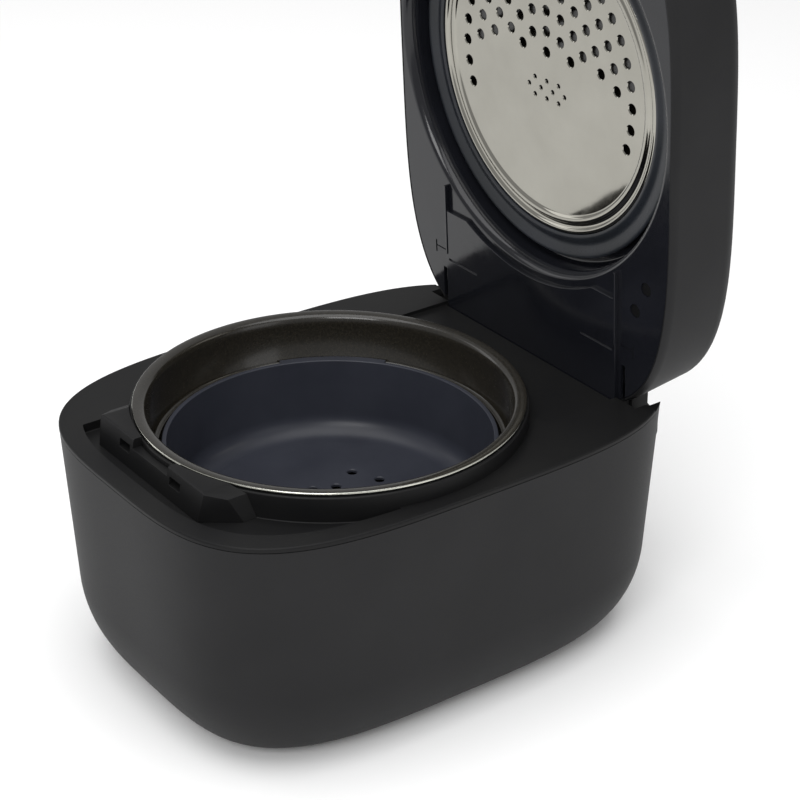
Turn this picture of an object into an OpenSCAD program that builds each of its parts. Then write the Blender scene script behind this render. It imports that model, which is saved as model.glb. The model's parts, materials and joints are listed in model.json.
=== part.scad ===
// Family rice cooker, drawn with its lid fully open.
// The origin is on the table, at the centre of the footprint that the open cooker covers.
// +Z is up, +Y is towards the back, and the lid is drawn closed, then turned about its hinge.

/* [Body] */
// Width of the body at the deck
body_w = 269; // [262:1:272]
// Depth of the body at the deck
body_d = 358.6; // [354:1:362]
// Distance from the pot axis to the front of the deck
body_front = 154.3; // [152:0.5:156]
// Height of the deck above the table
deck_z = 166; // [164:0.5:168]
// Power of the superellipse that outlines the body and the lid
outline_power = 3.616; // [3.2:0.1:4]
// How much the casing wall leans in for each millimetre down
casing_draft = 0.05; // [0.03:0.01:0.06]
// Width of the big round at the bottom of the casing
bottom_round_w = 32; // [28:1:34]
// Height of the big round at the bottom of the casing
bottom_round_h = 55; // [48:1:58]
// Height of the casing's lower edge at the front
casing_bottom = 2.2; // [2:0.1:3]
// How far the lower edge is raised behind the front skirt
skirt_step = 5; // [4:0.5:6]
// Thickness of the casing wall
casing_wall = 2.6; // [2.2:0.1:3]

/* [Pot] */
// Height of the pot rim above the table
rim_z = 179; // [178:0.5:180]
// Radius of the pot at the edge of its flange
flange_r = 122; // [121:0.5:122.5]
// Inner radius of the pot at its mouth
mouth_r = 113.6; // [113:0.2:114]
// Inner radius of the pot below the basket ledge
pot_r = 107.2; // [106:0.2:108]
// Height of the underside of the pot
pot_bottom = 51.3; // [51.2:0.1:52]
// Wall thickness of the pot
pot_wall = 2.2; // [2:0.1:2.4]

/* [Basket] */
// Radius of the steam basket at its rim
basket_r = 105; // [104:0.5:106]
// Depth of the basket rim below the pot rim
basket_drop = 28; // [26:1:30]
// Depth of the basket floor below the pot rim
basket_floor_drop = 80; // [76:1:82]
// Diameter of the drain holes in the basket floor
drain_hole_d = 6.4; // [5.6:0.2:7]

/* [Lid] */
// Height of the closed lid from its skirt to its top
lid_h = 60; // [58:1:62]
// Round along the top edge of the lid
lid_round = 14; // [12:1:16]
// Thickness of the lid shell
lid_wall = 2.2; // [2:0.1:2.4]
// Angle that the open lid is turned from closed
lid_angle = 87.09; // [85:0.01:89]
// Distance of the hinge axis behind the pot axis
hinge_back = 172.8; // [172:0.2:174]
// Height of the hinge axis above the pot rim
hinge_rise = 1.65; // [1.4:0.05:1.8]
// Radius of the steel inner lid
steel_r = 103.9; // [103:0.1:104.5]

/* [Controls] */
// Diameter of each round control button
button_d = 13.6; // [12:0.2:14]
// Travel of the lid release button and of the latch it drives
release_travel = 4; // [3.6:0.1:4.2]

/* [Hidden] */
$fn = 96;
outline_steps = 96;
lid_gap = 0.6;
skirt_z = deck_z + lid_gap;
lid_top = skirt_z + lid_h;
lid_draft = 0.05;
lid_top_inset = lid_draft * (lid_h - lid_round) + lid_round;
outline_y = body_d / 2 - body_front;
body_back = body_d - body_front;
hinge_z = rim_z + hinge_rise;
lid_back = hinge_back + (body_back - lid_top_inset - hinge_back) * cos(lid_angle)
    + (lid_top - hinge_z) * sin(lid_angle);
pot_y = (body_front - lid_back) / 2;

// Deck and collar
deck_band = 2.8;
deck_groove = 0.6;
casing_top = deck_z - deck_band - deck_groove;
collar_in = 117.5;
collar_out = 123.6;
collar_top = rim_z - 2.6;
moat_floor = deck_z - 6;
moat_edge = 13;
moat_left = -76;
moat_back = -42;

// Pot ledge that carries the basket
ledge_z = rim_z - basket_drop - 3;

// Drain holes of the basket, in three groups of four: radius and angle
drain_group = [[45.6, 102.8], [45.6, 128.7], [25.2, 139], [25.2, 174.5]];

// Where each tab of the basket rim starts, and how far round it goes
basket_tabs = [25, 164, 284];
tab_sweep = 38;

// Latch catch on the front of the deck
catch_half = 72.5;
catch_shoulder = 67.5;
catch_flat = 57.5;
catch_top = rim_z + 0.3;
catch_slope_z = catch_top - 4.3;
catch_front = -131.2;
catch_lean = 3.4;
catch_back = -97;
catch_ledge_half = 20;
catch_ledge_z = deck_z + 7;
catch_gap = 0.9;
catch_pocket_t = 1.6;
hook_x = 29;
hook_w = 10;
hook_tip = -126.6;
hook_face = -132.8;
hook_t = 4;
hook_h = 3.6;
hook_bottom = 169.8;
bar_z = 196;
bar_h = 6;
bar_back = -133.2;
bar_d = 6;
bar_half = 42;

// Hinge
pin_r = 3;
bracket_x = 92;
bracket_t = 3;
bracket_neck = 13.6;
bracket_boss_r = 9;
bracket_foot = 132;
slot_gap = 0.6;
well_r = 36.5;
well_half = 104.4;
well_t = 2.2;
well_front = 155;
panel_half = 87;
panel_proud = 2.5;
panel_front_r = 134.5;
panel_front_y = 118.3;
ridge_w = 1.6;
ridge_start = 99.9;
ridge_end = 150;
recess_depth = 3;
well_top = deck_z - recess_depth - 2.4;
barrel_in = 76;
barrel_out = 89.6;
barrel_r = 7.2;
barrel_bore = 3.06;

// Lid underside
frame_inset = lid_wall + 0.2;
frame_t = 2.4;
pocket_r = 130;
pocket_in_r = 125.2;
pocket_z = 187;
gasket_r = 119.5;
gasket_z = rim_z + 0.4;
steel_z = rim_z + 3.2;
steel_t = 0.8;

// Steel plate holes: ring k of the rice pattern holds 6k holes, and each ring starts where this list says
ring_pitch = 13.4;
ring_hole_d = 6.4;
ring_start = [90, 30, 30, 15, 6, -20];
vent_hole_d = 2.5;
vent_pitch = 11.5;
vent_row = 5.8;
vent_back = 11.5;

pocket_round_h = 9;
pocket_hole_r = 96;
plug_x = 112.6;
plug_y = 102.5;
plug_r = 4.2;
lid_screw_r = 112;
clip_x = 101.5;
clip_line = 13;

// Controls on the lid top
fascia_half = 62;
fascia_front = -118;
fascia_back = -58;
fascia_t = 2;
window_w = 62;
window_d = 24;
window_y = -76;
row_y = -104;
button_places = [[-45, row_y], [-15, row_y], [15, row_y], [45, row_y], [-47, window_y], [47, window_y]];
board_top = lid_top - 9;
button_gap = 0.5;
button_proud = 0.8;
button_h = 5;
release_y = -129;
release_w = 44;
release_d = 11;

// Steam outlet
steam_y = 62;
steam_cup_r = 24;
steam_cup_z = 198;
steam_tube_r = 12;
steam_slot_half = 3;

// Heater and sensor
can_r = 118.4;
can_t = 0.8;
can_bottom = 40;
plate_r = 86;
plate_top = pot_bottom - 0.3;
plate_t = 7;
sensor_r = 14;
sensor_stem_r = 6;
sensor_fit = 0.06;
sensor_top = pot_bottom - 0.1;
sensor_seat = 46.2;
sensor_low = 26;

// Electrics
board_y = 140;
board_w = 130;
board_h = 78;
board_z = 32;
board_t = 1.6;
post_len = 47;
inlet_x = 40;
inlet_y = 196.4;
inlet_z = 78;
inlet_w = 34;
inlet_h = 26;
inlet_depth = 18;
pin_len = 10;
cover_inset = 52;
cover_z = casing_bottom + 0.8;
foot_x = 62;
foot_front = -70;
foot_back = 118;
foot_r = 9;

charcoal = [0.16, 0.16, 0.165];
deck_black = [0.11, 0.11, 0.115];
gloss_black = [0.07, 0.07, 0.085];
slate = [0.19, 0.21, 0.24];
steel = [0.72, 0.71, 0.68];
aluminium = [0.66, 0.66, 0.67];
pot_black = [0.09, 0.085, 0.075];
steel_bright = [0.8, 0.79, 0.76];
board_green = [0.1, 0.32, 0.2];
brass = [0.75, 0.6, 0.3];
dark_rubber = [0.06, 0.06, 0.06];
cream = [0.8, 0.78, 0.72];

// Superellipse outline of the body, moved in by inset on every side
function signed_power(v, p) = sign(v) * pow(abs(v), p);
function body_outline(inset) = [
    for (i = [0 : outline_steps - 1])
        let (a = 360 * (i + 0.5) / outline_steps)
        [
            (body_w / 2 - inset) * signed_power(cos(a), 2 / outline_power),
            outline_y + (body_d / 2 - inset) * signed_power(sin(a), 2 / outline_power)
        ]
];

// Inset of the casing wall at a height: the draft, and the elliptical round near the bottom
function casing_inset(z) =
    let (t = max(0, (casing_bottom + bottom_round_h - z) / bottom_round_h))
    casing_draft * (deck_z - z) + bottom_round_w * (1 - sqrt(max(0, 1 - t * t)));

// Places its children about the pot axis
module about_pot() {
    translate([0, pot_y, 0])
        children();
}

// Turns its children from closed to open about the lid hinge
module on_open_lid() {
    translate([0, pot_y + hinge_back, hinge_z])
        rotate([-lid_angle, 0, 0])
            translate([0, -hinge_back, -hinge_z])
                children();
}

module outline_slab(inset, z, h) {
    translate([0, 0, z])
        linear_extrude(h)
            polygon(body_outline(inset));
}

// Runs along X, drawn as a profile in Y and Z
module along_x(half) {
    rotate([90, 0, 90])
        translate([0, 0, -half])
            linear_extrude(2 * half)
                children();
}

module pill(w, d, h) {
    translate([-(w - d) / 2, -d / 2, 0])
        cube([w - d, d, h]);
    for (side = [-1, 1])
        translate([side * (w - d) / 2, 0, 0])
            cylinder(h = h, d = d);
}

// A coil of round wire along Z
module coil(radius, wire, height, turns) {
    sides = 8;
    steps = 20 * turns;
    points = [
        for (i = [0 : steps])
            let (a = 360 * turns * i / steps, z = wire / 2 + (height - wire) * i / steps)
            for (j = [0 : sides - 1])
                let (r = radius + wire / 2 * cos(360 * j / sides))
                [r * cos(a), r * sin(a), z + wire / 2 * sin(360 * j / sides)]
    ];
    walls = [
        for (i = [0 : steps - 1])
            for (j = [0 : sides - 1])
                let (k = (j + 1) % sides)
                [sides * i + j, sides * i + k, sides * (i + 1) + k, sides * (i + 1) + j]
    ];
    start = [for (j = [0 : sides - 1]) sides - 1 - j];
    finish = [for (j = [0 : sides - 1]) sides * steps + j];
    skin = concat([start], walls, [finish]);
    polyhedron(points = points, faces = [for (f = skin) [for (v = [len(f) - 1 : -1 : 0]) f[v]]]);
}

// The casing's outer form, moved in by extra, from one height to another
module casing_body(extra, low, high) {
    round_steps = 8;
    hull() {
        for (step = [0 : round_steps])
            let (z = low + (casing_bottom + bottom_round_h - low) * (1 - cos(90 * step / round_steps)))
            outline_slab(casing_inset(z) + extra, z, 0.01);
        outline_slab(casing_inset(high) + extra, high - 0.01, 0.01);
    }
}

module outer_casing() {
    floor_z = casing_bottom + casing_wall;
    step_y = -12;
    color(charcoal)
        about_pot()
            difference() {
                casing_body(0, casing_bottom, casing_top);
                difference() {
                    casing_body(casing_wall, floor_z, casing_top + 1);
                    translate([-body_w / 2, step_y - casing_wall, 0])
                        cube([body_w, body_d, floor_z + skirt_step]);
                }
                outline_slab(cover_inset, 0, 20);
                translate([-body_w / 2, step_y, 0])
                    cube([body_w, body_d, casing_bottom + skirt_step]);
                translate([-well_half - well_t, well_front - well_t, hinge_z - well_r - well_t])
                    cube([2 * (well_half + well_t), 90, 60]);
                translate([inlet_x - inlet_w / 2, 170, inlet_z - inlet_h / 2])
                    cube([inlet_w, 50, inlet_h]);
            }
}

// Where the deck is sunk in front of the pot and to its right
module moat_shape(grow) {
    intersection() {
        polygon(body_outline(moat_edge - grow));
        polygon([
            [moat_left - grow, -36], [moat_left - grow, -165], [135, -165],
            [135, moat_back + 13 + grow], [96, moat_back + grow], [0, moat_back + grow]
        ]);
    }
}

module top_deck() {
    lip_z = casing_top - 5;
    lip_inset = casing_inset(lip_z) + casing_wall + 0.2;
    rear_y = well_front + 1.3;
    relief_r = hinge_z - deck_z + 1.4;
    color(deck_black)
        about_pot()
            difference() {
                union() {
                    outline_slab(0, deck_z - deck_band, deck_band);
                    outline_slab(1.2, casing_top, deck_groove + 0.01);
                    difference() {
                        outline_slab(lip_inset, lip_z, 5.01);
                        outline_slab(lip_inset + 2.2, lip_z - 1, 7);
                    }
                    translate([0, 0, moat_floor - 2.4])
                        linear_extrude(casing_top - moat_floor + 2.5)
                            moat_shape(2.4);
                    translate([0, 0, lip_z])
                        cylinder(h = collar_top - lip_z, r = collar_out);
                    translate([-panel_half - 3, 97, well_top])
                        cube([2 * panel_half + 6, rear_y - 97, deck_z - well_top - 1]);
                }
                difference() {
                    union() {
                        translate([0, 0, moat_floor])
                            linear_extrude(20)
                                moat_shape(0);
                        translate([-panel_half - 1, 99.5, deck_z - recess_depth])
                            cube([2 * panel_half + 2, 60, 10]);
                    }
                    cylinder(h = rim_z, r = collar_out);
                }
                cylinder(h = rim_z, r = collar_in);
                translate([-panel_half - 1, rear_y, 100])
                    cube([2 * panel_half + 2, 80, 100]);
                translate([-well_half - well_t, well_front + 2.4, 100])
                    cube([2 * (well_half + well_t), 80, 100]);
                translate([-body_w / 2, hinge_back, hinge_z])
                    rotate([0, 90, 0])
                        cylinder(h = body_w, r = relief_r);
            }
}

// The catch seen from the front: a flat top, sloped shoulders and slightly leaning sides
module catch_front_view() {
    polygon([
        [-catch_half, moat_floor], [-catch_shoulder, catch_slope_z], [-catch_flat, catch_top],
        [catch_flat, catch_top], [catch_shoulder, catch_slope_z], [catch_half, moat_floor]
    ]);
}

module latch_catch() {
    edge = 0.9;
    top_front = catch_front + catch_lean;
    slot_depth = 8;
    color(deck_black)
        about_pot()
            difference() {
                intersection() {
                    along_x(catch_half)
                        polygon([
                            [catch_back, moat_floor], [catch_front, moat_floor],
                            [top_front, catch_top - edge], [top_front + edge, catch_top],
                            [catch_back, catch_top]
                        ]);
                    rotate([90, 0, 0])
                        linear_extrude(200)
                            catch_front_view();
                    linear_extrude(200)
                        polygon([
                            [-catch_half, catch_back], [-catch_half, catch_front + 22],
                            [6 - catch_shoulder, catch_front + 6], [-catch_flat, catch_front],
                            [catch_flat, catch_front], [catch_shoulder - 6, catch_front + 6],
                            [catch_half, catch_front + 22], [catch_half, catch_back]
                        ]);
                }
                cylinder(h = 200, r = collar_out + 0.1);
                translate([-catch_ledge_half, catch_front - 1, catch_ledge_z])
                    cube([2 * catch_ledge_half, 30, 20]);
                for (side = [-1, 1])
                    translate([side * hook_x - hook_w / 2 - 1, catch_front - 1, hook_bottom - 1])
                        cube([hook_w + 2, slot_depth, hook_h + 1.6]);
            }
}

// The space that the lid's rear edge turns through
module well_space(radius, front) {
    intersection() {
        translate([hinge_back, hinge_z])
            circle(r = radius);
        translate([front, 0])
            square([120, hinge_z]);
    }
    translate([hinge_back, hinge_z - radius])
        square([60, radius]);
}

module hinge_well() {
    slot_w = bracket_t + 0.4;
    slot_d = bracket_neck + 0.4;
    color(deck_black)
        about_pot()
            difference() {
                intersection() {
                    along_x(well_half + well_t - 0.1)
                        intersection() {
                            well_space(well_r + well_t - 0.1, well_front - well_t + 0.1);
                            square([260, well_top - 0.1]);
                        }
                    outline_slab(casing_inset(150) + 0.1, 100, 100);
                }
                along_x(well_half)
                    well_space(well_r, well_front);
                for (side = [-1, 1])
                    translate([side * bracket_x - slot_w / 2, hinge_back - slot_d / 2, 100])
                        cube([slot_w, slot_d, 60]);
            }
}

module bottom_cover() {
    front_z = casing_bottom + casing_wall;
    color(deck_black)
        about_pot()
            difference() {
                union() {
                    outline_slab(cover_inset + 0.4, cover_z, 9);
                    intersection() {
                        outline_slab(cover_inset - 5, front_z + skirt_step, 2);
                        translate([-body_w / 2, -16, 0])
                            cube([body_w, body_d, 40]);
                    }
                    intersection() {
                        outline_slab(cover_inset - 5, front_z, 2);
                        translate([-body_w / 2, -body_d, 0])
                            cube([body_w, body_d - 15.2, 40]);
                    }
                }
                outline_slab(cover_inset + 4, cover_z + 3, 20);
                for (i = [-4 : 4])
                    translate([i * 9 - 2, 0, 0])
                        cube([4, 44, 20]);
                for (x = [-foot_x, foot_x], y = [foot_front, foot_back])
                    translate([x, y, 0])
                        cylinder(h = 20, r = 2.2);
            }
}

module feet() {
    color(dark_rubber)
        about_pot()
            for (x = [-foot_x, foot_x], y = [foot_front, foot_back])
                translate([x, y, 0])
                    difference() {
                        cylinder(h = cover_z, r = foot_r);
                        translate([0, 0, 0.8])
                            cylinder(h = 5, r = 4.4);
                        translate([0, 0, -1])
                            cylinder(h = 5, r = 3.6);
                    }
}

module cover_screws() {
    color(steel)
        about_pot()
            for (x = [-foot_x, foot_x], y = [foot_front, foot_back])
                translate([x, y, 1])
                    difference() {
                        union() {
                            cylinder(h = cover_z - 1, r = 4);
                            cylinder(h = 12, r = 2);
                        }
                        translate([0, 0, -0.1])
                            cylinder(h = 1.1, r = 1.6, $fn = 6);
                    }
}

module inner_can() {
    top_z = casing_top - 5;
    color(steel)
        about_pot()
            difference() {
                rotate_extrude()
                    polygon([
                        [28, can_bottom], [can_r - 10, can_bottom], [can_r + can_t, can_bottom + 10],
                        [can_r + can_t, top_z - 1], [can_r + 5, top_z - 1], [can_r + 5, top_z],
                        [can_r, top_z], [can_r, can_bottom + 10.4], [can_r - 10.4, can_bottom + can_t],
                        [28, can_bottom + can_t]
                    ]);
                for (a = [20, 160])
                    rotate(a)
                        translate([60, 0, can_bottom - 1])
                            cylinder(h = 4, r = 5);
            }
}

module band_heater() {
    color(cream)
        about_pot()
            difference() {
                translate([0, 0, 92])
                    cylinder(h = 22, r = can_r + can_t + 1.6);
                translate([0, 0, 90])
                    cylinder(h = 26, r = can_r + can_t + 0.1);
                translate([-6, -140, 90])
                    cube([12, 40, 26]);
            }
}

module heating_plate() {
    under_z = plate_top - plate_t;
    color(aluminium)
        about_pot()
            difference() {
                union() {
                    translate([0, 0, under_z])
                        cylinder(h = plate_t - 1, r = plate_r);
                    translate([0, 0, plate_top - 1])
                        cylinder(h = 1, r1 = plate_r, r2 = plate_r - 1);
                    translate([0, 0, under_z])
                        rotate_extrude()
                            translate([60, 0])
                                intersection() {
                                    circle(r = 2.6, $fn = 48);
                                    translate([-3, -3])
                                        square([6, 4]);
                                }
                    for (a = [90, 210, 330])
                        rotate(a)
                            translate([76, 0, can_bottom + can_t])
                                cylinder(h = plate_top - plate_t - can_bottom, r = 5);
                }
                translate([0, 0, 30])
                    cylinder(h = 40, r = sensor_r + 2);
            }
}

module heater_terminals() {
    top_z = plate_top - plate_t - 2.7;
    color(steel)
        about_pot()
            for (a = [20, 160])
                rotate(a)
                    translate([60, 0, sensor_low])
                        cylinder(h = top_z - sensor_low, r = 3);
}

module sensor_guide() {
    color(steel)
        about_pot()
            difference() {
                union() {
                    translate([0, 0, sensor_low])
                        cylinder(h = can_bottom - 1 - sensor_low, r = 9);
                    translate([0, 0, can_bottom - 2])
                        cylinder(h = 2, r = 36);
                }
                cylinder(h = 60, r = sensor_stem_r + sensor_fit);
            }
}

module sensor_cap() {
    color(aluminium)
        about_pot() {
            translate([0, 0, sensor_seat])
                cylinder(h = sensor_top - sensor_seat - 0.6, r = sensor_r);
            translate([0, 0, sensor_top - 0.6])
                cylinder(h = 0.6, r1 = sensor_r, r2 = sensor_r - 0.6);
            translate([0, 0, sensor_low - 5])
                cylinder(h = sensor_seat - sensor_low + 5.1, r = sensor_stem_r);
        }
}

module sensor_spring() {
    color(steel)
        about_pot()
            translate([0, 0, can_bottom + 0.05])
                coil(radius = 10.5, wire = 1.1, height = sensor_seat - can_bottom - 0.7, turns = 3);
}

module power_board() {
    color(board_green)
        about_pot()
            translate([-board_w / 2, board_y, board_z])
                difference() {
                    cube([board_w, board_t, board_h]);
                    for (x = [6, board_w - 6], z = [6, board_h - 6])
                        translate([x, -1, z])
                            rotate([-90, 0, 0])
                                cylinder(h = 4, r = 1.7, $fn = 24);
                }
}

module board_posts() {
    color(charcoal)
        about_pot()
            for (x = [-board_w / 2 + 6, board_w / 2 - 6], z = [board_z + 6, board_z + board_h - 6])
                translate([x, board_y + board_t, z])
                    rotate([-90, 0, 0])
                        union() {
                            cylinder(h = post_len, r = 3.4);
                            translate([0, 0, -3])
                                cylinder(h = 4, r = 1.5);
                        }
}

module power_transformer() {
    color([0.75, 0.65, 0.3])
        about_pot()
            translate([-48, board_y + board_t, board_z + 24])
                union() {
                    cube([34, 26, 30]);
                    translate([-3, 6, 4])
                        cube([40, 14, 22]);
                }
}

module power_relay() {
    color([0.85, 0.85, 0.85])
        about_pot()
            translate([-4, board_y + board_t, board_z + 26])
                cube([20, 16, 28]);
}

module power_capacitors() {
    color([0.15, 0.2, 0.45])
        about_pot()
            for (z = [board_z + 20, board_z + 38, board_z + 56])
                translate([32, board_y + board_t, z])
                    rotate([-90, 0, 0])
                        cylinder(h = 22, r = 7);
}

module inlet_socket() {
    color(dark_rubber)
        about_pot()
            translate([inlet_x, inlet_y, inlet_z])
                rotate([90, 0, 0])
                    difference() {
                        translate([-inlet_w / 2 + 0.3, -inlet_h / 2 + 0.3, 0])
                            cube([inlet_w - 0.6, inlet_h - 0.6, 26]);
                        translate([-12, -8, -1])
                            cube([24, 16, inlet_depth + 1]);
                    }
}

module inlet_pins() {
    color(brass)
        about_pot()
            for (x = [-7, 0, 7])
                translate([inlet_x + x - 1, inlet_y - inlet_depth, inlet_z - (x == 0 ? -1 : 4)])
                    cube([2, pin_len, 4]);
}

module hinge_brackets() {
    foot_w = 20;
    color(steel)
        about_pot()
            for (side = [-1, 1])
                translate([side * bracket_x, hinge_back, 0])
                    difference() {
                        union() {
                            translate([-bracket_t / 2, 0, hinge_z])
                                rotate([0, 90, 0])
                                    cylinder(h = bracket_t, r = bracket_boss_r);
                            translate([-bracket_t / 2, -bracket_neck / 2, bracket_foot])
                                cube([bracket_t, bracket_neck, hinge_z - bracket_foot]);
                            translate([side > 0 ? -foot_w : 0, -bracket_neck / 2, bracket_foot])
                                cube([foot_w, bracket_neck, 2]);
                        }
                        translate([-5, 0, hinge_z])
                            rotate([0, 90, 0])
                                cylinder(h = 10, r = pin_r + 0.02);
                    }
}

module hinge_pin() {
    pin_half = bracket_x + 4;
    color(steel)
        about_pot()
            translate([-pin_half, hinge_back, hinge_z])
                rotate([0, 90, 0])
                    cylinder(h = 2 * pin_half, r = pin_r);
}

module inner_pot() {
    corner = 30;
    inner = corner - pot_wall;
    base_r = pot_r + pot_wall - corner;
    floor_z = pot_bottom + pot_wall;
    color(pot_black)
        about_pot()
            rotate_extrude()
                polygon(concat(
                    [[0, pot_bottom]],
                    [
                        for (a = [-90 : 10 : 0])
                            [base_r + corner * cos(a), pot_bottom + corner + corner * sin(a)]
                    ],
                    [
                        [pot_r + pot_wall, ledge_z - 4], [pot_r + pot_wall + 3, ledge_z - 1],
                        [mouth_r + pot_wall, rim_z - 6], [mouth_r + pot_wall, rim_z - 2.2],
                        [flange_r - 0.6, rim_z - 2.2], [flange_r, rim_z - 1.6], [flange_r, rim_z - 0.6],
                        [flange_r - 0.6, rim_z], [mouth_r + 1.6, rim_z - 0.8], [mouth_r, rim_z - 2.4],
                        [mouth_r - 0.6, rim_z - 6], [pot_r + 3, ledge_z], [pot_r, ledge_z]
                    ],
                    [
                        for (a = [0 : -10 : -90])
                            [base_r + inner * cos(a), floor_z + inner + inner * sin(a)]
                    ],
                    [[0, floor_z]]
                ));
}

module steam_basket() {
    rim = rim_z - basket_drop;
    floor_top = rim_z - basket_floor_drop;
    fillet = 16;
    wall = 2;
    wall_r = basket_r - 3;
    color(slate)
        about_pot()
            difference() {
                union() {
                    rotate_extrude()
                        polygon(concat(
                            [[0, floor_top - wall], [wall_r - fillet, floor_top - wall]],
                            [
                                for (a = [-80 : 10 : 0])
                                    [
                                        wall_r - fillet + fillet * cos(a),
                                        floor_top - wall + fillet + fillet * sin(a)
                                    ]
                            ],
                            [
                                [basket_r - wall, rim - 2.4], [basket_r, rim - 2.4], [basket_r, rim],
                                [basket_r - wall - 1, rim]
                            ],
                            [
                                for (a = [0 : -10 : -80])
                                    let (inner = fillet - wall)
                                    [
                                        wall_r - wall - inner + inner * cos(a),
                                        floor_top + inner + inner * sin(a)
                                    ]
                            ],
                            [[wall_r - fillet, floor_top], [0, floor_top]]
                        ));
                    for (a = basket_tabs)
                        rotate(a)
                            translate([0, 0, ledge_z + 0.3])
                                rotate_extrude(angle = tab_sweep)
                                    translate([basket_r - 1, 0])
                                        square([4.8, rim - ledge_z - 0.3]);
                }
                for (turn = [0, 120, 240], at = drain_group)
                    rotate(turn + at[1])
                        translate([at[0], 0, floor_top - 10])
                            cylinder(h = 20, d = drain_hole_d, $fn = 32);
            }
}

module lid_solid(extra, bottom, top, edge_round) {
    hull() {
        outline_slab(extra, bottom, 0.01);
        for (step = [0 : 5])
            let (a = 18 * step)
            outline_slab(
                extra + lid_draft * (top - edge_round - bottom) + edge_round * (1 - cos(a)),
                top - edge_round * (1 - sin(a)) - 0.01,
                0.01
            );
    }
}

module bracket_slots() {
    slot = bracket_t + 2 * slot_gap;
    for (side = [-1, 1])
        translate([side * bracket_x - slot / 2, 0, 0]) {
            translate([0, hinge_back - bracket_boss_r - 1, skirt_z - 4])
                cube([slot, 60, hinge_z - skirt_z + 4 + bracket_neck / 2 + 1]);
            translate([0, hinge_back, hinge_z])
                rotate([0, 90, 0])
                    cylinder(h = slot, r = bracket_boss_r + 0.8);
        }
}

module lid_shell() {
    color(charcoal)
        on_open_lid()
            difference() {
                lid_solid(0, skirt_z, lid_top, lid_round);
                lid_solid(lid_wall, skirt_z - 1, lid_top - lid_wall - 0.4, lid_round - lid_wall);
                translate([-fascia_half, fascia_front, lid_top - 20])
                    cube([2 * fascia_half, fascia_back - fascia_front, 30]);
                translate([0, release_y, lid_top - 20])
                    pill(release_w + 1, release_d + 1, 30);
                translate([0, steam_y, lid_top - 20])
                    cylinder(h = 30, r = steam_cup_r + 1.9);
                bracket_slots();
            }
}

// The space over the catch in the closed lid, from in front of it to inside the round pocket
module catch_box(grow, low, high) {
    front = catch_front + 1.2 - grow;
    translate([-catch_half - grow, front, low])
        cube([2 * (catch_half + grow), catch_back - front, high - low]);
}

module lid_inner_frame() {
    bowl_t = 2;
    roof_z = catch_top + catch_gap;
    window_z = skirt_z + frame_t;
    color(gloss_black)
        on_open_lid()
            difference() {
                union() {
                    outline_slab(frame_inset, skirt_z, frame_t);
                    translate([0, 0, skirt_z + 1])
                        cylinder(h = pocket_z + bowl_t - skirt_z - 1, r = pocket_in_r + bowl_t);
                    for (side = [-1, 1])
                        translate([side * (plug_x - 5), plug_y + 9, skirt_z + 1])
                            cylinder(h = 24, r = 5);
                    catch_box(catch_gap + catch_pocket_t, skirt_z + 1, roof_z + catch_pocket_t);
                }
                catch_box(catch_gap, skirt_z - 1, roof_z);
                rotate_extrude()
                    polygon(concat(
                        [[0, skirt_z - 1], [pocket_r, skirt_z - 1]],
                        [
                            for (a = [0 : 10 : 90])
                                [
                                    pocket_in_r + (pocket_r - pocket_in_r) * (1 - sin(a)),
                                    skirt_z + pocket_round_h * (1 - cos(a))
                                ]
                        ],
                        [[pocket_in_r, pocket_z], [0, pocket_z]]
                    ));
                cylinder(h = 300, r = pocket_hole_r);
                for (x = [-hook_x, hook_x])
                    translate([x - hook_w / 2 - 0.6, catch_front - 4, window_z])
                        cube([hook_w + 1.2, 6, hook_bottom + hook_h + 1.1 - window_z]);
                for (i = [0, 1])
                    translate([plug_x - 9.8 * i, plug_y + 18.1 * i, skirt_z - 1])
                        cylinder(h = 2.6, r = plug_r + 0.3);
                for (side = [-1, 1])
                    translate([side * clip_x, ridge_end - 0.5, skirt_z - 1]) {
                        translate([-0.7, -4, 0])
                            cube([1.4, 9, 1.8]);
                        translate([side > 0 ? -clip_line : 0, -0.5, 0])
                            cube([clip_line, 1, 1.8]);
                    }
                for (a = [45 : 90 : 315])
                    rotate(a)
                        translate([lid_screw_r, 0, pocket_z - 1])
                            cylinder(h = 6, r = 1.7, $fn = 24);
                bracket_slots();
            }
}

module hinge_panel() {
    color(gloss_black)
        on_open_lid()
            difference() {
                union() {
                    difference() {
                        translate([-panel_half, panel_front_y, skirt_z - panel_proud])
                            cube([2 * panel_half, hinge_back + 22 - panel_front_y, panel_proud]);
                        cylinder(h = 300, r = panel_front_r);
                    }
                    for (side = [-1, 1])
                        translate([
                            side * (panel_half - ridge_w / 2) - ridge_w / 2, ridge_start,
                            skirt_z - panel_proud - 0.6
                        ])
                            cube([ridge_w, ridge_end - ridge_start, panel_proud + 0.6]);
                }
                for (side = [-1, 1])
                    translate([side * 69 - 15, 153, skirt_z - panel_proud - 1])
                        cube([30, 1.5, 2]);
            }
}

module frame_plugs() {
    color(deck_black)
        on_open_lid()
            for (i = [0, 1])
                translate([plug_x - 9.8 * i, plug_y + 18.1 * i, skirt_z + 0.7])
                    cylinder(h = 0.9, r = plug_r);
}

module hinge_barrel() {
    color(deck_black)
        on_open_lid()
            difference() {
                union() {
                    translate([barrel_in, hinge_back, hinge_z])
                        rotate([0, 90, 0])
                            cylinder(h = barrel_out - barrel_in, r = barrel_r);
                    translate([barrel_in, hinge_back - 5, skirt_z + frame_t])
                        cube([barrel_out - barrel_in, 10, hinge_z - skirt_z - frame_t]);
                }
                translate([barrel_in - 1, hinge_back, hinge_z])
                    rotate([0, 90, 0])
                        cylinder(h = barrel_out - barrel_in + 2, r = barrel_bore);
            }
}

module hinge_barrel_right() hinge_barrel();

module hinge_barrel_left()
    mirror([1, 0, 0])
        hinge_barrel();

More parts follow.
